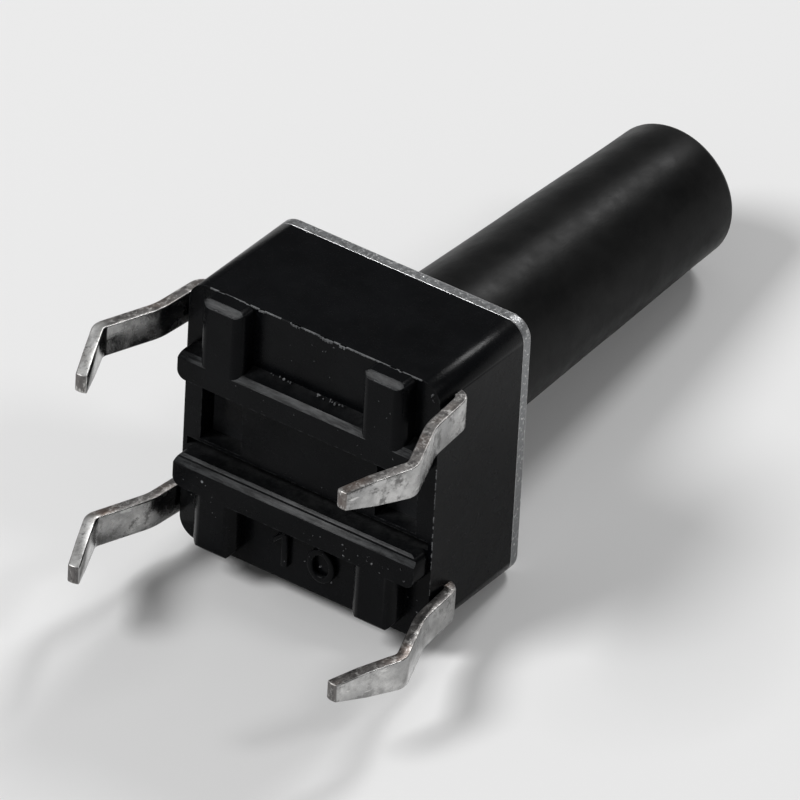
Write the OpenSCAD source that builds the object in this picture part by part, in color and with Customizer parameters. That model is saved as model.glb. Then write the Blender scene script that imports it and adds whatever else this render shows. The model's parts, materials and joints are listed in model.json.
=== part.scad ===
// Tactile push button switch: square through-hole type with a long stem.
// Z = 0 is the board that the feet rest on, +Z points out along the stem,
// and the legs leave the two X sides. Sizes are in millimetres.

/* [Housing] */
// Width and depth of the square housing
body_w = 6; // [5.8:0.1:7]
// Height of the cover's top above the board
body_h = 3.5; // [3.4:0.05:4.2]
// Radius of the housing's upright corners
corner_r = 0.45; // [0.3:0.05:0.6]
// Plastic left over the terminals, and under their contact arms
floor_skin = 0.075; // [0.05:0.005:0.15]
// Depth of the round recess that keeps the dome in place
dome_seat_h = 0.6; // [0.45:0.05:0.7]

/* [Feet] */
// Height of the feet that lift the housing off the board
foot_h = 0.45; // [0.3:0.05:0.6]
// Bevel along the lower edges of the feet, at their outer ends
foot_bevel = 0.14; // [0.05:0.01:0.18]
// Radius of the upright corners of the feet and bars
foot_r = 0.2; // [0.1:0.01:0.25]
// Radius along the lower edges of the feet and toes that run along Y
foot_edge_r = 0.25; // [0.1:0.01:0.28]
// Width across the feet along X
feet_w = 4.9; // [4.7:0.1:5.2]
// Width of the two notches between the feet
notch_w = 2.8; // [2:0.1:3]
// Depth from the housing's +Y side to the first bar
notch_depth = 1.35; // [1.1:0.05:1.4]
// Length of the two bars along X
bar_w = 5.8; // [5.4:0.1:5.8]
// Width of the first bar
bar_depth = 0.68; // [0.55:0.01:0.75]
// Bevel along the first bar's lower edge beside the feet
bar_bevel = 0.12; // [0.08:0.01:0.16]
// How far the first bar's wall leans in over its height
bar_draft = 0.09; // [0.02:0.01:0.12]
// Length along Y of the flat floor between the first bar and the trench
plateau_l = 1.63; // [1.5:0.01:1.7]
// Width of the trench that runs along the second bar
trench_w = 0.18; // [0.1:0.01:0.25]
// Height of the trench above the flat floor
trench_h = 0.2; // [0.1:0.05:0.3]
// Width of the second bar
rail_depth = 0.71; // [0.6:0.01:0.8]
// Height of the step along the second bar
step_h = 0.1; // [0.05:0.01:0.15]
// Width of that step
step_w = 0.1; // [0.06:0.01:0.15]
// Bevel along the step's edge
step_bevel = 0.05; // [0.02:0.01:0.05]
// Width of the two channels under the contact arms
channel_w = 0.98; // [0.8:0.02:1.1]
// Width of the ridge between a channel and the trench
ridge_w = 0.08; // [0.06:0.01:0.12]
// Distance from the housing's -Y side to the toes
toe_inset = 0.15; // [0.1:0.05:0.4]
// Radius of the toes' upright corners
toe_r = 0.4; // [0.2:0.05:0.45]
// Bevel along the toes' lower edges, at their ends
toe_bevel = 0.1; // [0.05:0.01:0.15]

/* [Terminals] */
// Distance between the two rows of legs along X, at the board
pitch_x = 6.5; // [6.5:0.1:7]
// Distance between the legs along Y
pitch_y = 4.5; // [4.3:0.1:4.6]
// Width of a leg and of the strip that it is cut from
strip_w = 0.7; // [0.5:0.05:0.8]
// Thickness of the terminal strip
strip_t = 0.25; // [0.2:0.01:0.3]
// Height of the strip's top face above the board
strip_top = 1.2; // [1.15:0.05:1.3]
// Length of the legs below the board
leg_len = 2.95; // [2.8:0.05:3.6]
// Outward lean of a leg between the housing and its shoulder
leg_lean = 0.11; // [0.05:0.01:0.15]
// Depth of the shoulder below the board
shoulder_depth = 0.2; // [0.1:0.05:0.4]
// Depth of the knee below the board
knee_depth = 1.5; // [1.3:0.05:1.8]
// How far the knee stands out from the row of legs
knee_out = 0.5; // [0.3:0.02:0.6]
// How far the tip stands in from the row of legs
tip_in = 0.16; // [0:0.02:0.3]
// Width of the leg's narrowed tip
tip_w = 0.4; // [0.3:0.05:0.5]
// Distance below the knee at which a leg starts to narrow
taper_start = 0.15; // [0.05:0.05:0.3]
// How far the narrowing edges swell outwards halfway down
taper_swell = 0.03; // [0.01:0.01:0.05]
// Inner radius of the bend beside the housing
bend_r = 0.12; // [0.08:0.01:0.16]
// Inner radius of the bend at the knee
knee_r = 0.2; // [0.1:0.02:0.3]
// Inner radius of the soft bend at the shoulder
shoulder_r = 1.2; // [0.5:0.1:1.5]
// Width of the two contact arms under the dome's rim
arm_w = 0.6; // [0.5:0.05:0.65]
// Length of the raised contact faces
contact_l = 0.9; // [0.6:0.05:1]
// Place along Y of the contact faces
contact_y = 0.42; // [0.3:0.02:0.5]
// How far the contact faces stand above the plastic
contact_proud = 0.03; // [0.02:0.01:0.05]
// Diameter of the round middle contact
middle_contact_d = 1.3; // [1:0.1:1.6]
// Diameter of the bump on the middle contact
bump_d = 0.9; // [0.7:0.05:0.95]

/* [Dome] */
// Diameter of the snap dome
dome_d = 4.2; // [4:0.05:4.3]
// Height of the snap dome
dome_h = 0.5; // [0.45:0.01:0.6]
// Thickness of the snap dome
dome_t = 0.08; // [0.06:0.01:0.1]
// Gap round the dome in its recess
dome_gap = 0.1; // [0.06:0.01:0.15]

/* [Plunger] */
// Height of the stem's tip above the board
total_h = 13; // [6:0.5:17]
// Diameter of the stem where it passes through the cover
stem_d = 3.5; // [3.2:0.05:3.6]
// Diameter of the stem at its tip
tip_d = 2.95; // [2.6:0.05:3.2]
// Radius of the edge at the stem's tip
tip_edge_r = 0.15; // [0.1:0.05:0.4]
// Length of the stem's straight stretch above the cover
land_h = 0.4; // [0.3:0.05:1]
// Diameter of the flange that keeps the plunger inside
flange_d = 4.7; // [4.4:0.05:4.8]
// Thickness of the flange
flange_t = 0.9; // [0.6:0.05:1]
// Bevel round the flange's lower edge
flange_bevel = 0.1; // [0.05:0.01:0.2]
// Diameter of the boss that presses the dome
boss_d = 1.6; // [1:0.1:2]
// Travel of the plunger
travel = 0.25; // [0.2:0.01:0.3]
// Gap between the stem and the cover's hole
stem_gap = 0.1; // [0.06:0.01:0.15]
// Gap between the flange and the housing's bore
flange_gap = 0.1; // [0.06:0.01:0.12]
// Gap left at rest above the flange and under the boss
rest_gap = 0.02; // [0.01:0.005:0.04]

/* [Cover] */
// Thickness of the metal cover
cover_t = 0.25; // [0.2:0.01:0.3]
// Distance between the posts that hold the cover, along X and Y
post_pitch = 4.5; // [4.5:0.05:4.6]
// Diameter of the posts
post_d = 0.8; // [0.6:0.05:0.85]
// Gap between a post and its hole in the cover
post_gap = 0.03; // [0.01:0.01:0.05]
// Diameter of the flattened head on each post
head_d = 1.2; // [1.05:0.05:1.3]
// Height of that head above the cover
head_h = 0.2; // [0.15:0.01:0.25]

/* [Hidden] */
$fn = 64;
BEND_STEPS = 8;      // straight pieces in each bend of a leg
EDGE_STEPS = 6;      // straight pieces in the round edge of the stem's tip
EPS = 0.01;          // overlap between shapes that are joined or cut

cover_z = body_h - cover_t;
strip_bottom = strip_top - strip_t;
floor_z = strip_top + floor_skin;
rim_z = floor_z + contact_proud;
apex_z = rim_z + dome_h;
bump_top = apex_z - dome_t - travel - rest_gap;
cavity_d = flange_d + 2 * flange_gap;
dome_seat_d = dome_d + 2 * dome_gap;
stem_hole_d = stem_d + 2 * stem_gap;

// Lines across the underside, from the +Y side to the -Y side
bar_top_y = body_w / 2 - notch_depth;
bar_bottom_y = bar_top_y - bar_depth;
trench_top_y = bar_bottom_y - plateau_l;
rail_top_y = trench_top_y - trench_w;
rail_bottom_y = rail_top_y - rail_depth;
toe_end_y = -body_w / 2 + toe_inset;

// The contacts lie under the dome's rim and over the channels
contact_x = dome_d / 2;
channel_top = strip_bottom - floor_skin;

// A rectangle with round corners
module rounded_rect(x0, x1, y0, y1, r) {
    translate([x0 + r, y0])
        square([x1 - x0 - 2 * r, y1 - y0]);
    translate([x0, y0 + r])
        square([x1 - x0, y1 - y0 - 2 * r]);
    for (x = [x0 + r, x1 - r], y = [y0 + r, y1 - r])
        translate([x, y])
            circle(r);
}

module body_outline() {
    rounded_rect(-body_w / 2, body_w / 2, -body_w / 2, body_w / 2, corner_r);
}

// An upright block under the housing, cut to its side view. The child is
// that side view, as [y, z].
module under_block(x0, x1, y0, y1, r) {
    intersection() {
        linear_extrude(foot_h + EPS)
            rounded_rect(x0, x1, y0, y1, r);
        translate([x0, 0, 0])
            rotate([90, 0, 90])
                linear_extrude(x1 - x0)
                    children();
    }
}

// Bar beside the feet, with a leaning wall and a bevel towards the +Y side
module first_bar() {
    bevel_y = bar_top_y - bar_draft;
    under_block(-bar_w / 2, bar_w / 2, bar_bottom_y, bar_top_y, foot_r)
        polygon([
            [bar_top_y, foot_h + EPS],
            [bevel_y, bar_bevel],
            [bevel_y - bar_bevel, 0],
            [bar_bottom_y, 0],
            [bar_bottom_y, foot_h + EPS]
        ]);
}

// Bar beside the trench, with a step along its lower edge
module second_bar() {
    step_y = rail_top_y - step_w;
    under_block(-bar_w / 2, bar_w / 2, rail_bottom_y, rail_top_y, foot_r)
        polygon([
            [rail_top_y, foot_h + EPS],
            [rail_top_y, step_h + step_bevel],
            [rail_top_y - step_bevel, step_h],
            [step_y, step_h],
            [step_y - step_h, 0],
            [rail_bottom_y, 0],
            [rail_bottom_y, foot_h + EPS]
        ]);
}

// A pair of blocks under the housing, one on each side of the notches, whose
// lower edges along Y are round. The child is their side view, as [y, z].
module block_pair(y0, y1, r) {
    x0 = notch_w / 2;
    x1 = feet_w / 2;
    for (side = [0, 1])
        mirror([side, 0, 0])
            intersection() {
                under_block(x0, x1, y0, y1, r)
                    children();
                translate([0, body_w, 0])
                    rotate([90, 0, 0])
                        linear_extrude(2 * body_w)
                            rounded_rect(x0, x1, 0, 2 * foot_h, foot_edge_r);
            }
}

// Square feet flush with the +Y side
module square_feet() {
    end_y = body_w / 2;
    block_pair(bar_bottom_y + foot_r, end_y, foot_r)
        polygon([
            [0, foot_h + EPS],
            [0, 0],
            [end_y - foot_bevel, 0],
            [end_y, foot_bevel],
            [end_y, foot_h + EPS]
        ]);
}

// Round toes that run out of the second bar towards the -Y side
module toes() {
    block_pair(toe_end_y, rail_bottom_y + toe_r, toe_r)
        polygon([
            [toe_end_y, foot_h + EPS],
            [toe_end_y, toe_bevel],
            [toe_end_y + toe_bevel, 0],
            [0, 0],
            [0, foot_h + EPS]
        ]);
}

// Recesses in the housing's bottom face: a trench along the second bar, and
// a channel under each contact arm
module recesses() {
    translate([-bar_w / 2, rail_top_y, foot_h - EPS])
        cube([bar_w, trench_w, trench_h + EPS]);
    for (side = [-1, 1])
        translate([side * contact_x - channel_w / 2, trench_top_y + ridge_w, foot_h - EPS])
            cube([channel_w, plateau_l - ridge_w, channel_top - foot_h + EPS]);
}

// One post with its flattened head, standing on the housing's rim
module post() {
    translate([0, 0, cover_z - EPS])
        cylinder(h = cover_t + 2 * EPS, d = post_d);
    sphere_r = (head_d * head_d / 4 + head_h * head_h) / (2 * head_h);
    translate([0, 0, body_h])
        intersection() {
            cylinder(h = head_h, d = head_d);
            translate([0, 0, head_h - sphere_r])
                sphere(sphere_r, $fn = 128);
        }
}

module at_posts() {
    for (sx = [-1, 1], sy = [-1, 1])
        translate([sx * post_pitch / 2, sy * post_pitch / 2, 0])
            children();
}

// Headings are in degrees from +X towards +Z. Each point of a leg's
// centre line is [x, z, heading].
function unit(a) = [cos(a), sin(a)];
function side_of(a) = [-sin(a), cos(a)];
function heading(a, b) = atan2(b[1] - a[1], b[0] - a[0]);

// Points round the corner b, on the way from a to c, at centre line radius r
function bend(a, b, c, r) =
    let (
        h0 = heading(a, b),
        h1 = heading(b, c),
        turn = h1 - h0,
        side = turn > 0 ? 1 : -1,
        start = b - unit(h0) * r * abs(tan(turn / 2)),
        centre = start + side_of(h0) * side * r
    )
    [for (i = [0:BEND_STEPS])
        let (h = h0 + turn * i / BEND_STEPS, p = centre - side_of(h) * side * r)
        [p[0], p[1], h]];

// A strip of even thickness along a centre line
module ribbon(path, t) {
    upper = [for (p = path) [p[0], p[1]] + side_of(p[2]) * t / 2];
    lower = [for (i = [len(path) - 1:-1:0]) [path[i][0], path[i][1]] - side_of(path[i][2]) * t / 2];
    polygon(concat(upper, lower));
}

// Side view of the leg that leaves the +X side of the housing
module leg_profile() {
    row_x = pitch_x / 2;
    strip_z = strip_top - strip_t / 2;
    root = [body_w / 2 - strip_w, strip_z];
    top = [row_x - leg_lean, strip_z];
    shoulder = [row_x, -shoulder_depth];
    knee = [row_x + knee_out, -knee_depth];
    tip = [row_x - tip_in, -leg_len];
    tight = bend_r + strip_t / 2;
    path = concat(
        [[root[0], root[1], 0]],
        bend(root, top, shoulder, tight),
        bend(top, shoulder, knee, shoulder_r + strip_t / 2),
        bend(shoulder, knee, tip, knee_r + strip_t / 2),
        [[tip[0], tip[1], heading(knee, tip)]]
    );
    // The end is sheared level, so that it is cut where the leg's length ends
    intersection() {
        ribbon(path, strip_t);
        translate([0, -leg_len])
            square([body_w, leg_len + strip_top]);
    }
}

// The leg's outline seen along X, straight to the knee and narrowed to the tip
module leg_front() {
    taper_z = -knee_depth - taper_start;
    half_w = (strip_w + tip_w) / 4 + taper_swell;
    half_z = (taper_z - leg_len) / 2;
    polygon([
        [-strip_w / 2, strip_top + EPS],
        [-strip_w / 2, taper_z],
        [-half_w, half_z],
        [-tip_w / 2, -leg_len],
        [tip_w / 2, -leg_len],
        [half_w, half_z],
        [strip_w / 2, taper_z],
        [strip_w / 2, strip_top + EPS]
    ]);
}

module leg() {
    intersection() {
        translate([0, strip_w / 2, 0])
            rotate([90, 0, 0])
                linear_extrude(strip_w)
                    leg_profile();
        rotate([90, 0, 90])
            linear_extrude(body_w)
                leg_front();
    }
}

// The straight strip across the housing with a leg at each end
module leg_pair(y) {
    straight_l = body_w - 2 * strip_w + 2 * EPS;
    translate([0, y, 0]) {
        translate([-straight_l / 2, -strip_w / 2, strip_bottom])
            cube([straight_l, strip_w, strip_t]);
        leg();
        mirror([1, 0, 0])
            leg();
    }
}

// Joins the two legs on the +Y side and reaches the middle contact
module bridge_shape() {
    leg_pair(pitch_y / 2);
    translate([-arm_w / 2, 0, strip_bottom])
        cube([arm_w, pitch_y / 2, strip_t]);
    translate([0, 0, strip_bottom])
        cylinder(h = strip_t, d = middle_contact_d);
    // Round bump that the dome's middle comes down on
    bump_h = bump_top - strip_top;
    bump_r = (bump_d * bump_d / 4 + bump_h * bump_h) / (2 * bump_h);
    translate([0, 0, strip_top - EPS])
        intersection() {
            cylinder(h = bump_h + EPS, d = bump_d);
            translate([0, 0, bump_h + EPS - bump_r])
                sphere(bump_r, $fn = 128);
        }
}

// Joins the two legs on the -Y side and carries the dome's rim
module rim_shape() {
    leg_pair(-pitch_y / 2);
    for (side = [-1, 1]) {
        translate([side * contact_x - arm_w / 2, -pitch_y / 2, strip_bottom])
            cube([arm_w, pitch_y / 2 + contact_y + contact_l / 2, strip_t]);
        translate([side * contact_x - arm_w / 2, contact_y - contact_l / 2, strip_bottom])
            cube([arm_w, contact_l, rim_z - strip_bottom]);
    }
}

module housing() {
    color([0.05, 0.05, 0.06])
    difference() {
        union() {
            translate([0, 0, foot_h])
                linear_extrude(cover_z - foot_h)
                    body_outline();
            first_bar();
            second_bar();
            square_feet();
            toes();
            at_posts()
                post();
        }
        // Bore that guides the flange, and the narrower recess for the dome
        translate([0, 0, floor_z + dome_seat_h])
            cylinder(h = cover_z, d = cavity_d);
        translate([0, 0, floor_z])
            cylinder(h = dome_seat_h + EPS, d = dome_seat_d);
        recesses();
        // The plastic is moulded round the terminals
        bridge_shape();
        rim_shape();
    }
}

module bridge_terminal() {
    color([0.75, 0.74, 0.72])
        bridge_shape();
}

module rim_terminal() {
    color([0.75, 0.74, 0.72])
        rim_shape();
}

// Thin snap dome, a slice of a hollow ball
module dome() {
    outer_r = (dome_d * dome_d / 4 + dome_h * dome_h) / (2 * dome_h);
    color([0.8, 0.79, 0.74])
    translate([0, 0, rim_z])
        intersection() {
            cylinder(h = dome_h, d = dome_d);
            translate([0, 0, dome_h - outer_r])
                difference() {
                    sphere(outer_r, $fn = 128);
                    sphere(outer_r - dome_t, $fn = 128);
                }
        }
}

// Boss, flange and tapered stem, turned about the axis
module plunger() {
    boss_z = apex_z + rest_gap;
    flange_top = cover_z - rest_gap;
    flange_bottom = flange_top - flange_t;
    land_top = body_h + land_h;
    tip_r = tip_d / 2;
    tip_edge = [for (i = [0:EDGE_STEPS])
        let (a = 90 * i / EDGE_STEPS)
        [tip_r - tip_edge_r + tip_edge_r * cos(a), total_h - tip_edge_r + tip_edge_r * sin(a)]];
    color([0.06, 0.06, 0.07])
    rotate_extrude()
        polygon(concat(
            [
                [0, boss_z],
                [boss_d / 2, boss_z],
                [boss_d / 2, flange_bottom],
                [flange_d / 2 - flange_bevel, flange_bottom],
                [flange_d / 2, flange_bottom + flange_bevel],
                [flange_d / 2, flange_top],
                [stem_d / 2, flange_top],
                [stem_d / 2, land_top]
            ],
            tip_edge,
            [[0, total_h]]
        ));
}

// Flat stamped plate, held by the posts
module cover() {
    color([0.78, 0.78, 0.8])
    difference() {
        translate([0, 0, cover_z])
            linear_extrude(cover_t)
                body_outline();
        translate([0, 0, cover_z - EPS])
            cylinder(h = cover_t + 2 * EPS, d = stem_hole_d);
        at_posts()
            translate([0, 0, cover_z - EPS])
                cylinder(h = cover_t + 2 * EPS, d = post_d + 2 * post_gap);
    }
}

housing();
bridge_terminal();
rim_terminal();
dome();
plunger();
cover();
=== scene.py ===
# %% [markdown]
# # A tactile push button switch
# The switch is a small black moulded box with four springy tinned legs, a flat
# metal cover and a long round stem. Everything is only a few millimetres wide,
# so its looks live in small things: the soft glint along moulded edges, ragged
# flash on the parting line, and the rough sheared sides of the stamped metal.
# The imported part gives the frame. Each piece below starts from it or is fitted
# to it, and rides on one of its two bodies.

# %% Load the frame
import json
import math
import random

import bmesh
import bpy
from mathutils import Matrix, Vector


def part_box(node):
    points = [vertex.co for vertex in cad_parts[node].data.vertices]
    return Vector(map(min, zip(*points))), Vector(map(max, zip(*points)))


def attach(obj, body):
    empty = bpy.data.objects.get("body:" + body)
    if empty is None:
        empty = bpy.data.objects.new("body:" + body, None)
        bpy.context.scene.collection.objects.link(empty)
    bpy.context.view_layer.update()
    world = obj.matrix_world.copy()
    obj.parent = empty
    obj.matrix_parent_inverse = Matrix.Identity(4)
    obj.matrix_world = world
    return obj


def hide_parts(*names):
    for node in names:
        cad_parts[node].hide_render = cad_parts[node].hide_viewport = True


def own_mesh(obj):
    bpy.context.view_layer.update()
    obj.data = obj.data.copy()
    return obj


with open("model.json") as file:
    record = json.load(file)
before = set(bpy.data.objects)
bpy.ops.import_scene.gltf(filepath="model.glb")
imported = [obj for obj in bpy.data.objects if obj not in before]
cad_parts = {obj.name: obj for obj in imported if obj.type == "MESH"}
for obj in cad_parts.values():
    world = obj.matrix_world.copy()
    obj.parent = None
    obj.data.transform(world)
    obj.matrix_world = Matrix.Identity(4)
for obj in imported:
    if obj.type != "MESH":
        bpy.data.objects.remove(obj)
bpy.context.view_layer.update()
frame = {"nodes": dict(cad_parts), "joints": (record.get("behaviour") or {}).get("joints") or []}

MM = 0.001
SWITCH = "switch_body"
BUTTON = "button"

# %% [markdown]
# ## Places to work from
# A few lines of the frame are given names: the plane of the +Y wall and the top
# of the cover are read from it, and the floor of the underside lies 0.45 mm above
# the board. The housing's lowest levels are printed to compare that floor with.

# %% Named levels and lines
nodes = frame["nodes"]
WALL_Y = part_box("cover")[1][1]
COVER_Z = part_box("cover")[1][2]
FLOOR_Z = 0.45 * MM


def levels_of(node):
    """Heights at which a CAD node has corners, lowest first."""
    return sorted({round(v.co.z, 6) for v in nodes[node].data.vertices})


print("levels of the housing in mm:", [round(z / MM, 3) for z in levels_of("housing")[:8]])

# %% [markdown]
# ## Small helpers for materials
# Every finish here is a Principled shader that is fed by noise on the piece's
# own Object coordinates, so a pattern stays where it is when the button moves.
# The helpers only save typing: one makes a node, one makes noise of a given
# fineness, one stretches a value over a range, and one mixes two colours.

# %% Material helpers
def new_finish(name):
    """A material, its node tree and its Principled shader."""
    material = bpy.data.materials.new(name)
    material.use_nodes = True
    tree = material.node_tree
    return material, tree, tree.nodes["Principled BSDF"]


def add(tree, kind, **settings):
    made = tree.nodes.new(kind)
    for key, value in settings.items():
        setattr(made, key, value)
    return made


def wire(tree, source, target):
    """Joins an output to an input, or sets the input to a plain number."""
    if isinstance(source, (int, float)):
        target.default_value = source
    else:
        tree.links.new(source, target)


def grain(tree, per_mm, detail=2.0, rough=0.5, stretch=(1, 1, 1), shift=0.0):
    """Noise with about per_mm blotches to the millimetre."""
    place = add(tree, "ShaderNodeTexCoord")
    fit = add(tree, "ShaderNodeMapping")
    fit.inputs["Location"].default_value = (shift, shift, shift)
    fit.inputs["Scale"].default_value = [per_mm / MM * s for s in stretch]
    tree.links.new(place.outputs["Object"], fit.inputs["Vector"])
    noise = add(tree, "ShaderNodeTexNoise")
    noise.inputs["Scale"].default_value = 1
    noise.inputs["Detail"].default_value = detail
    noise.inputs["Roughness"].default_value = rough
    tree.links.new(fit.outputs["Vector"], noise.inputs["Vector"])
    return noise.outputs["Fac"]


def over(tree, value, low, high, to_low=0.0, to_high=1.0):
    """Value from low to high, stretched to run from to_low to to_high."""
    span = add(tree, "ShaderNodeMapRange")
    tree.links.new(value, span.inputs["Value"])
    ends = {"From Min": low, "From Max": high, "To Min": to_low, "To Max": to_high}
    for key, number in ends.items():
        span.inputs[key].default_value = number
    return span.outputs["Result"]


def reckon(tree, operation, a, b=0.0):
    made = add(tree, "ShaderNodeMath", operation=operation)
    wire(tree, a, made.inputs[0])
    wire(tree, b, made.inputs[1])
    return made.outputs["Value"]


def mixed(tree, factor, a, b):
    """Colour a turning into colour b. Either may be a colour or an output."""
    made = add(tree, "ShaderNodeMix", data_type="RGBA")
    tree.links.new(factor, made.inputs["Factor"])
    for colour, socket in ((a, made.inputs["A"]), (b, made.inputs["B"])):
        if isinstance(colour, tuple):
            socket.default_value = (*colour, 1)
        else:
            tree.links.new(colour, socket)
    return made.outputs["Result"]


def relief(tree, height, depth_mm, strength=1.0, under=None):
    """A bump of that depth, laid over another bump where one is given."""
    made = add(tree, "ShaderNodeBump")
    made.inputs["Strength"].default_value = strength
    made.inputs["Distance"].default_value = depth_mm * MM
    tree.links.new(height, made.inputs["Height"])
    if under is not None:
        tree.links.new(under, made.inputs["Normal"])
    return made.outputs["Normal"]


def openness(tree, reach_mm):
    """One on open faces and outward edges, falling towards zero in a hollow."""
    made = add(tree, "ShaderNodeAmbientOcclusion", samples=6, only_local=True)
    made.inputs["Distance"].default_value = reach_mm * MM
    return made.outputs["AO"]


def edge_mask(tree, radius_mm, low=0.02, high=0.2):
    """White where the surface turns a corner within radius_mm, black on flat faces."""
    turned = add(tree, "ShaderNodeBevel", samples=6)
    turned.inputs["Radius"].default_value = radius_mm * MM
    plain = add(tree, "ShaderNodeNewGeometry")
    same = add(tree, "ShaderNodeVectorMath", operation="DOT_PRODUCT")
    tree.links.new(turned.outputs["Normal"], same.inputs[0])
    tree.links.new(plain.outputs["Normal"], same.inputs[1])
    return over(tree, same.outputs["Value"], 1 - low, 1 - high)


def facing(tree, direction, low, high):
    """One where the surface looks along a direction of the object, fading as it turns away."""
    place = add(tree, "ShaderNodeTexCoord")
    along = add(tree, "ShaderNodeVectorMath", operation="DOT_PRODUCT")
    tree.links.new(place.outputs["Normal"], along.inputs[0])
    along.inputs[1].default_value = Vector(direction).normalized()
    return over(tree, along.outputs["Value"], low, high)


print("material helpers ready")

# %% [markdown]
# ## Black moulded plastic
# The housing is a glass-filled black thermoplastic. It isn't truly black: it has
# a faint sheen that is cloudy where the mould was rougher, and fine pale dust
# sticks to it. Its outward edges turn a lighter grey, partly rubbed wear and
# partly a painted highlight, and the bevels that look between +Y and -Z, towards
# the edge lamp, carry a speckled painted highlight in the same grey. In the
# hollows the -X walls get painted shade, the deep bottoms get painted light, and
# dust has settled on the +Y faces. One material does this with noises, masks for
# edges, hollows and directions, and sparse dots from a Voronoi texture. A low
# specular level keeps the big faces dark while a lamp still draws the edges.

# %% Housing plastic
# Painted shade: the near black laid on -X walls in hollows
PAINTED_HOLLOW_SHADE = (0.001, 0.001, 0.0012)
SETTLED_DUST = (0.024, 0.0245, 0.025)
# Painted light: the grey laid on the bottoms of deep recesses
PAINTED_RECESS_LIGHT = (0.03, 0.031, 0.033)
SPECK_GREY = (0.22, 0.23, 0.24)


def dust(tree, per_mm, size, share):
    """Sparse dots: small cells of a Voronoi texture, of which only a share is kept."""
    place = add(tree, "ShaderNodeTexCoord")
    cells = add(tree, "ShaderNodeTexVoronoi")
    cells.inputs["Scale"].default_value = per_mm / MM
    tree.links.new(place.outputs["Object"], cells.inputs["Vector"])
    dot = over(tree, cells.outputs["Distance"], size, size * 0.6)
    pick = add(tree, "ShaderNodeSeparateColor")
    tree.links.new(cells.outputs["Color"], pick.inputs["Color"])
    kept = reckon(tree, "GREATER_THAN", pick.outputs["Red"], 1 - share)
    return reckon(tree, "MULTIPLY", dot, kept)


def moulded_plastic(
        name, dark, light, worn_and_lit_grey, sheen_low, sheen_high, specular, edge_wear_and_highlight, painted_bevel_highlight=0.0, dust_share=0.0):
    material, tree, shader = new_finish(name)
    cloud = over(tree, grain(tree, 1.1, 3, 0.6), 0.35, 0.65)
    body = mixed(tree, cloud, dark, light)
    # Outward edges get the worn grey: partly rubbed wear, partly a painted highlight
    outward = over(tree, openness(tree, 0.12), 0.8, 0.95)
    rubbed = over(tree, grain(tree, 7, 4, 0.65), 0.47, 0.64)
    edge = reckon(tree, "MULTIPLY", edge_mask(tree, 0.05), rubbed)
    edge = reckon(tree, "MULTIPLY", edge, outward)
    body = mixed(tree, reckon(tree, "MULTIPLY", edge, edge_wear_and_highlight), body, worn_and_lit_grey)
    # The bevels between +Y and -Z, which face the edge lamp, get a speckled painted highlight
    highlight_speckle = over(tree, grain(tree, 13, 5, 0.7, (0.16, 1, 1), shift=13.0), 0.4, 0.66, 0.1, 1)
    lamp_facing_bevels = reckon(tree, "MULTIPLY", facing(tree, (0, 1, -1), 0.95, 0.985), highlight_speckle)
    body = mixed(tree, reckon(tree, "MULTIPLY", lamp_facing_bevels, painted_bevel_highlight), body, worn_and_lit_grey)
    # In hollows, -X faces get painted shade, +Y faces carry dust and deep bottoms get painted light
    hollow = over(tree, openness(tree, 0.6), 0.95, 0.45)
    shaded_side_walls = reckon(tree, "MULTIPLY", facing(tree, (-1, 0, 0), 0.4, 0.8), 0.8)
    body = mixed(tree, reckon(tree, "MULTIPLY", hollow, shaded_side_walls), body, PAINTED_HOLLOW_SHADE)
    upward = reckon(tree, "MULTIPLY", facing(tree, (0, 1, 0), 0.5, 0.9), hollow)
    settled = over(tree, grain(tree, 4, 5, 0.7, shift=15.0), 0.36, 0.66, 0.3, 1)
    body = mixed(tree, reckon(tree, "MULTIPLY", upward, settled), body, SETTLED_DUST)
    # Deep bottoms facing -Z inside the recesses are lightened: painted light
    depth = add(tree, "ShaderNodeSeparateXYZ")
    tree.links.new(add(tree, "ShaderNodeTexCoord").outputs["Object"], depth.inputs["Vector"])
    inside = reckon(tree, "GREATER_THAN", depth.outputs["Z"], FLOOR_Z + 0.1 * MM)
    bottoms = reckon(tree, "MULTIPLY", facing(tree, (0, 0, -1), 0.5, 0.9), inside)
    body = mixed(tree, reckon(tree, "MULTIPLY", bottoms, hollow), body, PAINTED_RECESS_LIGHT)
    specks = dust(tree, 3.2, 0.12, dust_share)
    body = mixed(tree, specks, body, SPECK_GREY)
    tree.links.new(body, shader.inputs["Base Color"])
    patchy = over(tree, grain(tree, 2.3, 4, 0.6, shift=7.0), 0.3, 0.7, sheen_low, sheen_high)
    tree.links.new(patchy, shader.inputs["Roughness"])
    shader.inputs["Specular IOR Level"].default_value = specular
    skin = relief(tree, grain(tree, 26, 3, 0.6), 0.004, 0.5)
    skin = relief(tree, grain(tree, 3.5, 2, 0.5, shift=3.0), 0.008, 0.35, skin)
    tree.links.new(skin, shader.inputs["Normal"])
    return material


# Its worn grey serves both as edge wear and as painted highlight on edges and bevels
housing_plastic = moulded_plastic(
    "housing_plastic",
    dark=(0.0012, 0.0014, 0.0019), light=(0.0026, 0.0029, 0.0036), worn_and_lit_grey=(0.13, 0.135, 0.14),
    sheen_low=0.2, sheen_high=0.32, specular=0.07, edge_wear_and_highlight=0.28, painted_bevel_highlight=0.42, dust_share=0.004)
print("finish:", housing_plastic.name)

# %% [markdown]
# ## The stem's plastic
# The stem comes from another mould and is satin smooth. Light slides along it in
# one broad soft band, with a very fine grain. It uses the same recipe with other
# numbers.

# %% Stem plastic
stem_plastic = moulded_plastic(
    "stem_plastic",
    dark=(0.0028, 0.0029, 0.003), light=(0.0068, 0.0069, 0.0069), worn_and_lit_grey=(0.05, 0.052, 0.055),
    sheen_low=0.34, sheen_high=0.46, specular=0.08, edge_wear_and_highlight=0.3)
print("finish:", stem_plastic.name)

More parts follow.
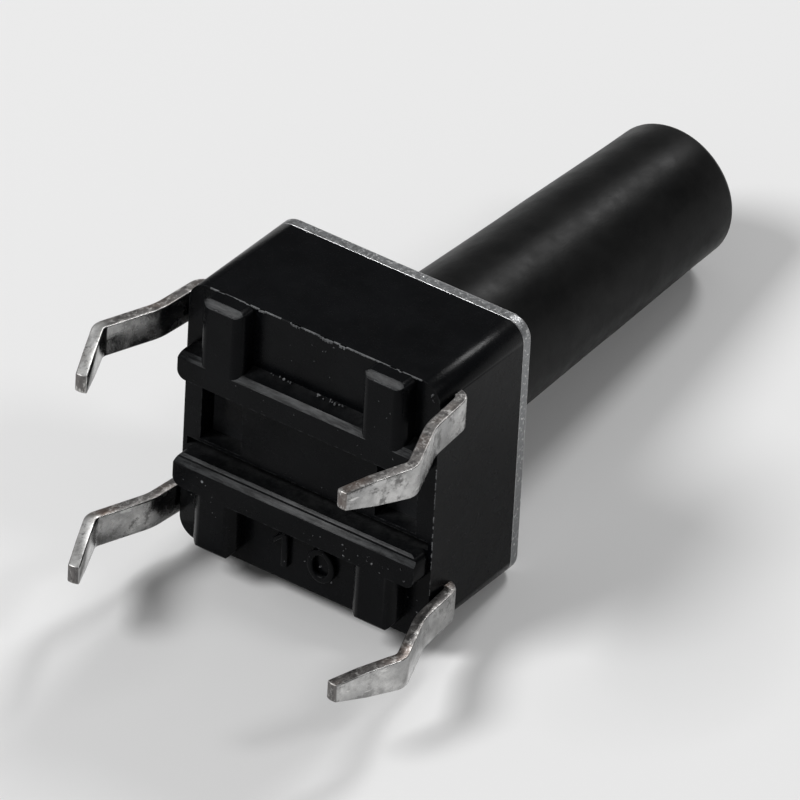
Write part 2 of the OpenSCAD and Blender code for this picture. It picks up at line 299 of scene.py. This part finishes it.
# %% [markdown]
# ## Tinned strip
# The terminals are stamped from tinned brass strip. Their broad faces carry the
# bright tin, rolled smooth but mottled where it was handled. Their narrow sides
# were torn by the punch: they are dull, warm and streaked, since the brass shows
# through. A bright line along their rims is partly burr and partly a painted
# highlight. The cut ends of the legs are dull too, and the rims of those ends are
# painted dark, as painted shade that hides their glints. The narrow sides of the
# +X pair are rubbed bright below the knee. The strip's broad faces never look
# along Y on the legs, so the direction of the object's normal tells them apart.

# %% Tin, bright on its faces and torn on its sides
LEG_ENDS_Z = -2.85 * MM


def cut_faces(tree):
    """Masks of the strip's narrow sides, its legs' ends and their rims, and one pair's tips."""
    place = add(tree, "ShaderNodeTexCoord")
    where = add(tree, "ShaderNodeSeparateXYZ")
    tree.links.new(place.outputs["Object"], where.inputs["Vector"])
    sides = reckon(
        tree, "MAXIMUM", facing(tree, (0, 1, 0), 0.7, 0.9), facing(tree, (0, -1, 0), 0.7, 0.9))
    low = reckon(tree, "LESS_THAN", where.outputs["Z"], LEG_ENDS_Z)
    ends = reckon(tree, "MULTIPLY", facing(tree, (0, 0, -1), 0.6, 0.8), low)
    end_rims = reckon(tree, "MULTIPLY", facing(tree, (0, 0, -1), 0.4, 0.55), low)
    right = over(tree, where.outputs["X"], 2.3 * MM, 2.7 * MM)
    tips = reckon(tree, "MULTIPLY", right, over(tree, where.outputs["Z"], -1.3 * MM, -1.8 * MM))
    tips = reckon(tree, "MULTIPLY", tips, sides)
    return sides, ends, end_rims, tips


def tinned_strip(name):
    material, tree, shader = new_finish(name)
    sides, ends, end_rims, tips = cut_faces(tree)
    sheared = reckon(tree, "MAXIMUM", sides, ends)
    rim = edge_mask(tree, 0.045, 0.02, 0.1)
    # Tin with soft grey clouds, a few darker stains and faint scratches
    clouds = over(tree, grain(tree, 1.3, 3, 0.5), 0.36, 0.64)
    tin = mixed(tree, clouds, (0.62, 0.615, 0.605), (0.35, 0.35, 0.348))
    mottle = over(tree, grain(tree, 5, 5, 0.7, shift=14.0), 0.4, 0.62, 0, 0.6)
    tin = mixed(tree, mottle, tin, (0.3, 0.298, 0.295))
    stains = over(tree, grain(tree, 3.4, 6, 0.7, shift=5.0), 0.51, 0.6)
    patches = over(tree, grain(tree, 0.7, 2, 0.5, shift=12.0), 0.42, 0.58, 0.25, 0.9)
    tin = mixed(tree, reckon(tree, "MULTIPLY", stains, patches), tin, (0.15, 0.148, 0.145))
    scratches = over(tree, grain(tree, 9, 2, 0.5, (0.25, 1, 0.25), shift=1.0), 0.66, 0.7)
    tin = mixed(tree, reckon(tree, "MULTIPLY", scratches, 0.5), tin, (0.85, 0.84, 0.82))
    # Torn metal, streaked across the strip's thickness and flecked with light
    streaks = over(tree, grain(tree, 6, 5, 0.65, (1.5, 0.2, 0.6)), 0.35, 0.65)
    torn = mixed(tree, streaks, (0.11, 0.106, 0.105), (0.26, 0.248, 0.24))
    copper = over(tree, grain(tree, 0.9, 2, 0.5, shift=9.0), 0.54, 0.68)
    torn = mixed(tree, reckon(tree, "MULTIPLY", copper, 0.4), torn, (0.26, 0.16, 0.11))
    rubbed = over(tree, grain(tree, 4, 4, 0.7, (1, 0.3, 0.6), shift=17.0), 0.32, 0.55, 0.3, 1)
    torn = mixed(tree, reckon(tree, "MULTIPLY", tips, rubbed), torn, (0.85, 0.85, 0.84))
    pulled = reckon(tree, "MULTIPLY", edge_mask(tree, 0.11, 0.0, 0.25), 0.5)
    torn = mixed(tree, pulled, torn, (0.5, 0.49, 0.48))
    flecks = over(tree, grain(tree, 8, 6, 0.75, (1, 0.5, 1), shift=4.0), 0.51, 0.63)
    torn = mixed(tree, reckon(tree, "MULTIPLY", flecks, 0.75), torn, (0.7, 0.69, 0.67))
    nicks = over(tree, grain(tree, 9, 5, 0.7, (1, 0.4, 1), shift=21.0), 0.56, 0.66)
    torn = mixed(tree, reckon(tree, "MULTIPLY", nicks, 0.6), torn, (0.05, 0.047, 0.045))
    body = mixed(tree, sheared, tin, torn)
    # A bright line along the rims, broken by noise: partly burr, partly a painted highlight
    broken = over(tree, grain(tree, 5, 3, 0.6), 0.36, 0.5, 0.35, 1)
    burr_and_highlight_line = reckon(tree, "MULTIPLY", rim, broken)
    burr_and_highlight_line = reckon(tree, "MULTIPLY", burr_and_highlight_line, reckon(tree, "SUBTRACT", 1.0, end_rims))
    body = mixed(tree, burr_and_highlight_line, body, (0.95, 0.94, 0.92))
    # The rims of the legs' ends are painted dark: painted shade that hides their glints
    body = mixed(tree, reckon(tree, "MULTIPLY", rim, end_rims), body, (0.035, 0.034, 0.033))
    tree.links.new(body, shader.inputs["Base Color"])
    smooth = over(tree, grain(tree, 2.2, 3, 0.6, shift=2.0), 0.35, 0.65, 0.13, 0.3)
    rough = over(tree, streaks, 0, 1, 0.4, 0.52)
    gloss = add(tree, "ShaderNodeMix", data_type="FLOAT")
    tree.links.new(reckon(tree, "MAXIMUM", sheared, end_rims), gloss.inputs["Factor"])
    tree.links.new(smooth, gloss.inputs["A"])
    tree.links.new(rough, gloss.inputs["B"])
    tree.links.new(gloss.outputs["Result"], shader.inputs["Roughness"])
    shader.inputs["Metallic"].default_value = 1
    dents = relief(tree, grain(tree, 0.9, 2, 0.5), 0.06, 0.4)
    pits = relief(tree, grain(tree, 11, 4, 0.65), 0.008, 0.35, dents)
    tree.links.new(pits, shader.inputs["Normal"])
    return material


strip_tin = tinned_strip("strip_tin")
print("finish:", strip_tin.name)

# %% [markdown]
# ## Rolled cover sheet and spring steel
# The cover is punched from rolled stainless sheet. Rolling leaves fine parallel
# lines, so its noise is stretched along one axis, and its punched side is dull,
# flecked and a little torn. The dome under the stem is polished spring steel with
# a faint straw tint. On both, a bright line along the rims is partly burr and
# partly a painted highlight. Both come from one function.

# %% Sheet and dome metal
def sheet_metal(name, bright, dull, stretch, low, high, line_depth, punched=None):
    material, tree, shader = new_finish(name)
    lines = grain(tree, 12, 3, 0.6, stretch)
    clouds = over(tree, grain(tree, 0.9, 4, 0.6), 0.35, 0.65)
    body = mixed(tree, clouds, bright, dull)
    gloss = over(tree, lines, 0.3, 0.7, low, high)
    rim = edge_mask(tree, 0.05, 0.02, 0.12)
    if punched:
        # The side that the punch cut: dull, flecked, and smeared across the sheet
        flat = reckon(
            tree, "MAXIMUM", facing(tree, (0, 0, 1), 0.2, 0.5), facing(tree, (0, 0, -1), 0.2, 0.5))
        side = reckon(tree, "SUBTRACT", 1.0, flat)
        flecks = over(tree, grain(tree, 11, 4, 0.65), 0.56, 0.68)
        cut = mixed(tree, flecks, punched, (0.8, 0.8, 0.79))
        body = mixed(tree, side, body, cut)
        gloss = reckon(tree, "ADD", gloss, reckon(tree, "MULTIPLY", side, 0.12))
    # A bright line along the rims, broken by noise: partly burr, partly a painted highlight
    broken = over(tree, grain(tree, 8, 3, 0.6, shift=6.0), 0.4, 0.56, 0.25, 1)
    body = mixed(tree, reckon(tree, "MULTIPLY", rim, broken), body, (0.93, 0.93, 0.92))
    tree.links.new(body, shader.inputs["Base Color"])
    tree.links.new(gloss, shader.inputs["Roughness"])
    shader.inputs["Metallic"].default_value = 1
    skin = relief(tree, lines, line_depth, 0.5)
    if punched:
        torn = reckon(tree, "MULTIPLY", grain(tree, 8, 3, 0.6, shift=8.0), side)
        skin = relief(tree, torn, 0.03, 0.8, skin)
    tree.links.new(skin, shader.inputs["Normal"])
    return material


cover_sheet = sheet_metal(
    "cover_sheet", (0.72, 0.72, 0.73), (0.6, 0.6, 0.61), (0.06, 1.3, 1.0), 0.22, 0.4, 0.004,
    punched=(0.24, 0.245, 0.25))
dome_steel = sheet_metal(
    "dome_steel", (0.78, 0.74, 0.66), (0.66, 0.62, 0.56), (1, 1, 1), 0.14, 0.26, 0.002)
print("finishes:", cover_sheet.name, dome_steel.name)

# %% [markdown]
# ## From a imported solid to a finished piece
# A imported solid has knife-sharp edges, and no real part has. Its mesh is loose
# triangles, so the copy is merged first and its flat triangles are joined into
# whole faces. A Bevel modifier then rounds every edge by a few hundredths of a
# millimetre, which is what catches the light, and a Weighted Normal modifier
# keeps the broad faces looking flat beside the round edges.

# %% Copies with soft edges
FLAT = math.radians(1)
SHARP = math.radians(24)
WELD = 0.0002 * MM


def report(piece):
    """Prints the finished piece's faces and any open edges."""
    graph = bpy.context.evaluated_depsgraph_get()
    shown = piece.evaluated_get(graph)
    mesh = shown.to_mesh()
    check = bmesh.new()
    check.from_mesh(mesh)
    open_edges = sum(1 for e in check.edges if not e.is_manifold)
    print(f"{piece.name}: {len(check.faces)} faces, {open_edges} open edges")
    check.free()
    shown.to_mesh_clear()


def settle(name, bm, body, material, smooth=True):
    """Turns a bmesh into a piece that rides on a body and takes the given finish."""
    mesh = bpy.data.meshes.new(name)
    bm.to_mesh(mesh)
    bm.free()
    mesh.polygons.foreach_set("use_smooth", [smooth] * len(mesh.polygons))
    mesh.materials.append(material)
    piece = bpy.data.objects.new(name, mesh)
    bpy.context.collection.objects.link(piece)
    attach(piece, body)
    return piece


def soften(piece, width_mm, segments=2):
    """Rounds the piece's sharp edges and keeps its flat faces flat."""
    edges = piece.modifiers.new("soft edges", "BEVEL")
    edges.width = width_mm * MM
    edges.segments = segments
    edges.limit_method = "ANGLE"
    edges.angle_limit = SHARP
    edges.miter_outer = "MITER_ARC"
    edges.use_clamp_overlap = True
    flat = piece.modifiers.new("flat faces", "WEIGHTED_NORMAL")
    flat.weight = 100
    flat.keep_sharp = True


def soft_copy(node, name, body, material, width_mm):
    bm = bmesh.new()
    bm.from_mesh(nodes[node].data)
    bmesh.ops.remove_doubles(bm, verts=bm.verts, dist=WELD)
    bmesh.ops.dissolve_limit(
        bm, angle_limit=FLAT, verts=bm.verts, edges=bm.edges, use_dissolve_boundaries=False)
    piece = settle(name, bm, body, material)
    soften(piece, width_mm)
    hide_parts(node)
    report(piece)
    return piece


# %% [markdown]
# ## The housing
# One moulding holds everything: the box, the two square feet, the bars and toes
# that it stands on, and the four posts that are flattened over the cover. Its
# sharp edges are rounded by 0.035 mm, a little less than the stem's.

# %% Housing
soft_copy("housing", "housing_moulding", SWITCH, housing_plastic, 0.035)

# %% [markdown]
# ## The terminals
# Each is one stamping: two legs and the strip that joins them inside. Punched
# metal keeps crisp edges, so they are rounded slightly less than the housing's.

# %% Terminals
soft_copy("bridge_terminal", "bridge_strip", SWITCH, strip_tin, 0.032)
soft_copy("rim_terminal", "rim_strip", SWITCH, strip_tin, 0.032)

# %% [markdown]
# ## The snap dome
# The dome snaps flat when the stem comes down on it. It can't follow the joint
# as a rigid piece would, but here it is only a merged copy of the imported dome,
# with its own mesh, that rides on the switch body.

# %% Dome
press = next(j for j in frame["joints"] if j["name"] == "press")
print("joint press:", press)


def merged_copy(node):
    bm = bmesh.new()
    bm.from_mesh(nodes[node].data)
    bmesh.ops.remove_doubles(bm, verts=bm.verts, dist=WELD)
    return bm


dome = settle("snap_dome", merged_copy("dome"), SWITCH, dome_steel)
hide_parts("dome")
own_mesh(dome)
report(dome)

# %% [markdown]
# ## The stem
# The plunger is round, so it is turned: its half profile is read off the packed
# solid, ring by ring, and one full spin makes the surface. Only its edges need
# help, and the Bevel modifier rounds them.

# %% Stem
STEM_STEPS = 96
STEM_WELD = 0.001 * MM


def turned_profile(node):
    """Radius and height of each ring of a turned solid, from its foot to its top."""
    rings = {}
    for v in nodes[node].data.vertices:
        rings.setdefault(round(v.co.z, 6), set()).add(round(math.hypot(v.co.x, v.co.y), 5))
    profile = [(0.0, min(rings))]
    for z in sorted(rings):
        radii = {r for r in rings[z] if r > 0.2 * MM}
        radii = [min(radii), max(radii)] if max(radii) - min(radii) > 0.05 * MM else [max(radii)]
        last = profile[-1][0]
        for r in sorted(radii, key=lambda value: abs(value - last)):
            if (r, z) != profile[-1]:
                profile.append((r, z))
    profile.append((0.0, max(rings)))
    return profile


profile = turned_profile("plunger")
print("stem profile in mm:", [(round(r / MM, 2), round(z / MM, 2)) for r, z in profile])
bm = bmesh.new()
line = [bm.verts.new((r, 0, z)) for r, z in profile]
edges = [bm.edges.new(pair) for pair in zip(line, line[1:])]
bmesh.ops.spin(
    bm, geom=line + edges, cent=(0, 0, 0), axis=(0, 0, 1), angle=math.tau,
    steps=STEM_STEPS, use_merge=True)
bmesh.ops.remove_doubles(bm, verts=bm.verts, dist=STEM_WELD)
bmesh.ops.recalc_face_normals(bm, faces=bm.faces)
stem = settle("stem", bm, BUTTON, stem_plastic)
soften(stem, 0.04)
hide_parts("plunger")
report(stem)

# %% [markdown]
# ## The cover
# A flat punched plate that the four posts hold down. It gets the same treatment
# as the terminals. The bright line along its rims, partly the punch's burr and
# partly a painted highlight, is left to the finish.

# %% Cover
soft_copy("cover", "cover_plate", SWITCH, cover_sheet, 0.03)

# %% [markdown]
# ## Flash on the parting lines
# Where the two halves of the mould met, a hair of plastic was squeezed out. On
# this kind of part it is a ragged pale fin, a few hundredths of a millimetre
# high, along the bottom edge of the wall. Each fin is a thin bar, cut into many
# short pieces along its length, whose free edge is then moved up and down.

# %% Fins
FLASH_SEED = 11
rng = random.Random(FLASH_SEED)


def fin(bm, start, end, out, drop, thick, low, high, step_mm=0.03):
    """A ragged bar from start to end that hangs along drop, with its back to out."""
    run = end - start
    cuts = max(2, int(run.length / (step_mm * MM)))
    centre = (start + end) / 2 + drop * (high / 2) - out * (thick / 2)
    turn = Matrix((run.normalized(), out, drop)).transposed().to_4x4()
    size = Matrix.Diagonal((run.length, thick, high, 1))
    earlier = len(bm.verts)
    made = bmesh.ops.create_cube(bm, size=1, matrix=Matrix.Translation(centre) @ turn @ size)
    edges = {e for v in made["verts"] for e in v.link_edges}
    bmesh.ops.subdivide_edges(
        bm, edges=[e for e in edges if e.calc_length() > run.length * 0.9], cuts=cuts)
    bm.verts.ensure_lookup_table()
    free = [v for v in bm.verts[earlier:] if (v.co - start).dot(drop) > high * 0.5]
    heights = {}
    for v in free:
        key = round((v.co - start).dot(run.normalized()) / (0.01 * MM))
        if key not in heights:
            heights[key] = rng.uniform(low, high)
        v.co -= drop * (high - heights[key])


def flash_line(bm, start, end, out, drop, low, high, share=1.0, piece_mm=0.5, thick=0.022):
    """Fins end to end, of which only a share is there, as flash breaks away. Sizes in mm."""
    start, end = Vector(start) * MM, Vector(end) * MM
    out, drop = Vector(out).normalized(), Vector(drop).normalized()
    run = end - start
    done = 0.0
    while done < run.length:
        length = min(run.length - done, rng.uniform(0.4, 1.0) * piece_mm * MM)
        if rng.random() < share and length > 0.04 * MM:
            a = start + run.normalized() * done
            b = start + run.normalized() * (done + length)
            tall = rng.uniform(0.6, 1.0)
            fin(bm, a, b, out, drop, thick * MM, low * tall * MM, high * tall * MM)
        done += length


FLASH_BACK = WALL_Y / MM + 0.003
FLASH_TOP = FLOOR_Z / MM + 0.012
FOOT_LIP_Y = WALL_Y / MM - 0.14
bm = bmesh.new()
# Along the whole wall: a low fin, then taller lumps where the mould sealed worst
flash_line(
    bm, (2.5, FLASH_BACK, FLASH_TOP), (-2.55, FLASH_BACK, FLASH_TOP), (0, 1, 0), (0, 0, -1),
    0.02, 0.045, share=0.93, piece_mm=0.4)
LUMPS = (
    # from x, to x, tallest, share that is there
    (0.65, -1.0, 0.1, 0.5),
    (-1.7, -2.3, 0.08, 0.4),
    (2.3, 1.2, 0.07, 0.3),
)
for from_x, to_x, tall, share in LUMPS:
    flash_line(
        bm, (from_x, FLASH_BACK, FLASH_TOP), (to_x, FLASH_BACK, FLASH_TOP), (0, 1, 0), (0, 0, -1),
        0.04, tall, share=share, piece_mm=0.16, thick=0.04)
# Dots along the -X wall
flash_line(
    bm, (-FLASH_BACK, 1.3, FLASH_TOP), (-FLASH_BACK, -1.9, FLASH_TOP), (-1, 0, 0), (0, 0, -1),
    0.008, 0.03, share=0.45, piece_mm=0.12, thick=0.014)
# A torn lip along the bevel of each square foot
for from_x, to_x in ((2.25, 1.62), (-1.62, -2.2)):
    flash_line(
        bm, (from_x, FOOT_LIP_Y, 0.012), (to_x, FOOT_LIP_Y, 0.012), (0, 0.4, -1), (0, 1, -0.4),
        0.015, 0.05, share=0.6, piece_mm=0.12)
bmesh.ops.recalc_face_normals(bm, faces=bm.faces)
print("flash faces:", len(bm.faces))

# %% [markdown]
# Torn fins are paler and rougher than the box they come from.
# They get a chalky grey version of the housing's plastic.

# %% Flash finish
flash_plastic = moulded_plastic(
    "flash_plastic",
    dark=(0.04, 0.042, 0.045), light=(0.13, 0.134, 0.138), worn_and_lit_grey=(0.26, 0.262, 0.27),
    sheen_low=0.42, sheen_high=0.6, specular=0.35, edge_wear_and_highlight=0.6)
flash = settle("parting_flash", bm, SWITCH, flash_plastic, smooth=False)
report(flash)

# %% [markdown]
# ## Crumbs
# Torn flash leaves crumbs of plastic and dust in the corners of the underside.
# They gather along the bars, beside the feet and at one corner. Each crumb is a
# squashed and turned ball with few faces, and they are joined into one piece.

# %% Crumbs
def crumb(bm, place, size):
    spun = Matrix.Rotation(rng.uniform(0, math.tau), 4, "Z")
    tipped = Matrix.Rotation(rng.uniform(0, 1.2), 4, "X")
    shape = Matrix.Diagonal((rng.uniform(0.7, 1.8), rng.uniform(0.5, 1.0), rng.uniform(0.3, 0.7), 1))
    bmesh.ops.create_icosphere(
        bm, subdivisions=1, radius=size, matrix=Matrix.Translation(place) @ spun @ tipped @ shape)


ZONES = (
    # lowest x, highest x, lowest y, highest y, height, how many, largest radius
    (-2.2, -1.6, 1.75, 2.7, 0.0, 4, 0.022),
    (-1.3, 1.2, 1.7, 2.9, 0.45, 9, 0.02),
    (0.35, 0.95, 1.66, 1.72, 0.4, 7, 0.035),
    (-0.95, -0.2, 1.65, 1.72, 0.36, 10, 0.045),
    (-2.8, 2.8, 1.0, 1.4, 0.0, 9, 0.018),
    (-2.7, -1.2, -1.5, -1.15, 0.0, 18, 0.026),
    (-1.2, 2.7, -1.5, -1.15, 0.0, 9, 0.02),
    (1.7, 2.5, -1.9, -1.4, 0.0, 5, 0.022),
    (-0.9, 0.8, -2.5, -1.9, 0.33, 6, 0.03),
    (-1.5, 1.5, -0.6, 0.9, 0.45, 7, 0.016),
    (-2.75, -2.4, -2.4, -1.7, 0.45, 4, 0.028),
    (-2.9, -2.72, 2.62, 2.85, 0.46, 7, 0.04),
)
bm = bmesh.new()
for low_x, high_x, low_y, high_y, z, count, largest in ZONES:
    for _ in range(count):
        spot = Vector((rng.uniform(low_x, high_x), rng.uniform(low_y, high_y), z)) * MM
        crumb(bm, spot, rng.uniform(0.3, 1.0) * largest * MM)
crumbs = settle("plastic_crumbs", bm, SWITCH, flash_plastic, smooth=False)
report(crumbs)

# %% [markdown]
# ## The mould's cavity number
# A mould makes many housings at once, and each cavity marks its own with a plain
# number. It stands a hair proud of the floor between the toes. The nought is a
# ring that is stretched and thickened, and the one is a bar with a short flag.

# %% Cavity number
NUMBER_Y = -2.235 * MM
PROUD = 0.12 * MM
SUNK = 0.01 * MM


def thicken(bm, faces):
    """Gives flat strokes their height above the floor, with a bevelled top."""
    grown = bmesh.ops.extrude_face_region(bm, geom=faces)
    top = [g for g in grown["geom"] if isinstance(g, bmesh.types.BMVert)]
    bmesh.ops.translate(bm, verts=top, vec=(0, 0, -PROUD - SUNK))
    bmesh.ops.recalc_face_normals(bm, faces=bm.faces)
    rim = [e for e in bm.edges if all(v in top for v in e.verts) and e.calc_face_angle(0) > SHARP]
    bmesh.ops.bevel(
        bm, geom=rim, offset=0.03 * MM, segments=3, profile=0.5, affect="EDGES", material=-1)


def nought(centre_x, wide, high, stroke):
    bm = bmesh.new()
    outer = bmesh.ops.create_circle(bm, segments=40, radius=0.5)["verts"]
    inner = bmesh.ops.create_circle(bm, segments=40, radius=0.5)["verts"]
    bmesh.ops.scale(bm, verts=outer, vec=(wide, high, 1))
    bmesh.ops.scale(bm, verts=inner, vec=(wide - 2 * stroke, high - 2 * stroke, 1))
    bmesh.ops.bridge_loops(bm, edges=bm.edges[:])
    bmesh.ops.translate(bm, verts=bm.verts, vec=(centre_x, NUMBER_Y, FLOOR_Z + SUNK))
    thicken(bm, bm.faces[:])
    return bm


def one(centre_x, high, stroke):
    bm = bmesh.new()
    bmesh.ops.create_grid(bm, x_segments=1, y_segments=1, size=0.5)
    bmesh.ops.scale(bm, verts=bm.verts, vec=(stroke, high, 1))
    bm.edges.ensure_lookup_table()
    side = max(bm.edges, key=lambda e: sum(v.co.x for v in e.verts))
    cut = bmesh.ops.subdivide_edges(bm, edges=[side], cuts=1)
    middle = next(g for g in cut["geom_inner"] if isinstance(g, bmesh.types.BMVert))
    middle.co.y = high / 2 - stroke
    flag = next(e for e in middle.link_edges if max(v.co.y for v in e.verts) > high / 2 - stroke * 0.5)
    grown = bmesh.ops.extrude_edge_only(bm, edges=[flag])
    tip = [g for g in grown["geom"] if isinstance(g, bmesh.types.BMVert)]
    bmesh.ops.translate(bm, verts=tip, vec=(stroke * 1.4, -stroke * 1.3, 0))
    bmesh.ops.translate(bm, verts=bm.verts, vec=(centre_x, NUMBER_Y, FLOOR_Z + SUNK))
    thicken(bm, bm.faces[:])
    return bm


number = one(0.4 * MM, 0.77 * MM, 0.14 * MM)
settle("cavity_number_one", number, SWITCH, housing_plastic)
number = nought(-0.475 * MM, 0.66 * MM, 0.77 * MM, 0.14 * MM)
settle("cavity_number_nought", number, SWITCH, housing_plastic)
for name in ("cavity_number_one", "cavity_number_nought"):
    report(bpy.data.objects[name])

# %% [markdown]
# ## Camera
# The camera looks up at the underside from beside the notch, from far away with
# a long lens, so that the box is hardly foreshortened. Its three axes are given
# outright, because it is also rolled.

# %% Camera
camera_data = bpy.data.cameras.new("camera")
camera = bpy.data.objects.new("camera", camera_data)
bpy.context.collection.objects.link(camera)
right = Vector((-0.81228, 0.04590, 0.58146))
up = Vector((0.35788, 0.82641, 0.43471))
forward = Vector((0.46057, -0.56120, 0.68770))
pose = Matrix((right, up, -forward)).transposed().to_4x4()
pose.translation = Vector((-125.651, 152.925, -184.089)) * MM
camera.matrix_world = pose
camera_data.lens = 625.66
camera_data.sensor_width = 36
camera_data.clip_start = 0.01
camera_data.clip_end = 10
bpy.context.scene.camera = camera
print("camera at", [round(v / MM, 1) for v in camera.matrix_world.translation])

# %% [markdown]
# ## Floor
# The switch lies on one side: the edge of its cover and the tip of its stem touch
# the floor, so the floor is the plane through those two. It is pale and plain,
# and it shows only its upper face, so that a view from below isn't blocked.

# %% Floor
touch = Vector((0, -WALL_Y, COVER_Z))
tip_radius = max(r for r, z in profile if z > profile[-1][1] - 0.5 * MM)
tip = Vector((0, -tip_radius, profile[-1][1]))
along = (tip - touch).normalized()
floor_up = Vector((1, 0, 0)).cross(along).normalized()
if floor_up.y < 0:
    floor_up = -floor_up
bm = bmesh.new()
bmesh.ops.create_grid(bm, x_segments=1, y_segments=1, size=0.3)
spot = Matrix.Translation(touch) @ floor_up.to_track_quat("Z", "Y").to_matrix().to_4x4()
bmesh.ops.transform(bm, matrix=spot, verts=bm.verts)
floor_mesh = bpy.data.meshes.new("floor")
bm.to_mesh(floor_mesh)
bm.free()
floor = bpy.data.objects.new("floor", floor_mesh)
bpy.context.collection.objects.link(floor)

floor_paper, tree, shader = new_finish("floor_paper")
shader.inputs["Base Color"].default_value = (0.8, 0.8, 0.8, 1)
shader.inputs["Roughness"].default_value = 0.7
shader.inputs["Specular IOR Level"].default_value = 0.2
sides = add(tree, "ShaderNodeNewGeometry")
clear = add(tree, "ShaderNodeBsdfTransparent")
either = add(tree, "ShaderNodeMixShader")
tree.links.new(sides.outputs["Backfacing"], either.inputs["Fac"])
tree.links.new(shader.outputs["BSDF"], either.inputs[1])
tree.links.new(clear.outputs["BSDF"], either.inputs[2])
tree.links.new(either.outputs["Shader"], tree.nodes["Material Output"].inputs["Surface"])
floor_mesh.materials.append(floor_paper)
print("floor faces", [round(v, 3) for v in floor_up])

# %% [markdown]
# ## Light
# An even grey world fills the shadows. Three soft round lamps do the rest: one
# draws the bevelled edges of the underside, one lays a broad band along the stem
# and a line down the upright corner, and one lights the rims of the legs and of
# the cover. None of them is seen by the camera.

# %% Lamps and world
world = bpy.data.worlds.new("studio")
bpy.context.scene.world = world
world.use_nodes = True
world.node_tree.nodes["Background"].inputs["Color"].default_value = (0.2, 0.2, 0.2, 1)


def lamp(name, direction, distance, size, energy):
    data = bpy.data.lights.new(name, "AREA")
    data.shape = "DISK"
    data.size = size
    data.energy = energy
    made = bpy.data.objects.new(name, data)
    bpy.context.collection.objects.link(made)
    towards = Vector(direction).normalized()
    made.location = towards * distance
    made.rotation_mode = "QUATERNION"
    made.rotation_quaternion = towards.to_track_quat("Z", "Y")
    made.visible_camera = False
    return made


lamp("edge_lamp", (0.46, 0.69, -0.56), 0.3, 0.12, 0.58)
lamp("stem_lamp", (0, 0.726, 0.688), 0.3, 0.08, 0.36)
lamp("rim_lamp", (-0.68, 0.69, 0.15), 0.3, 0.07, 0.14)
bpy.context.scene.view_settings.view_transform = "Standard"
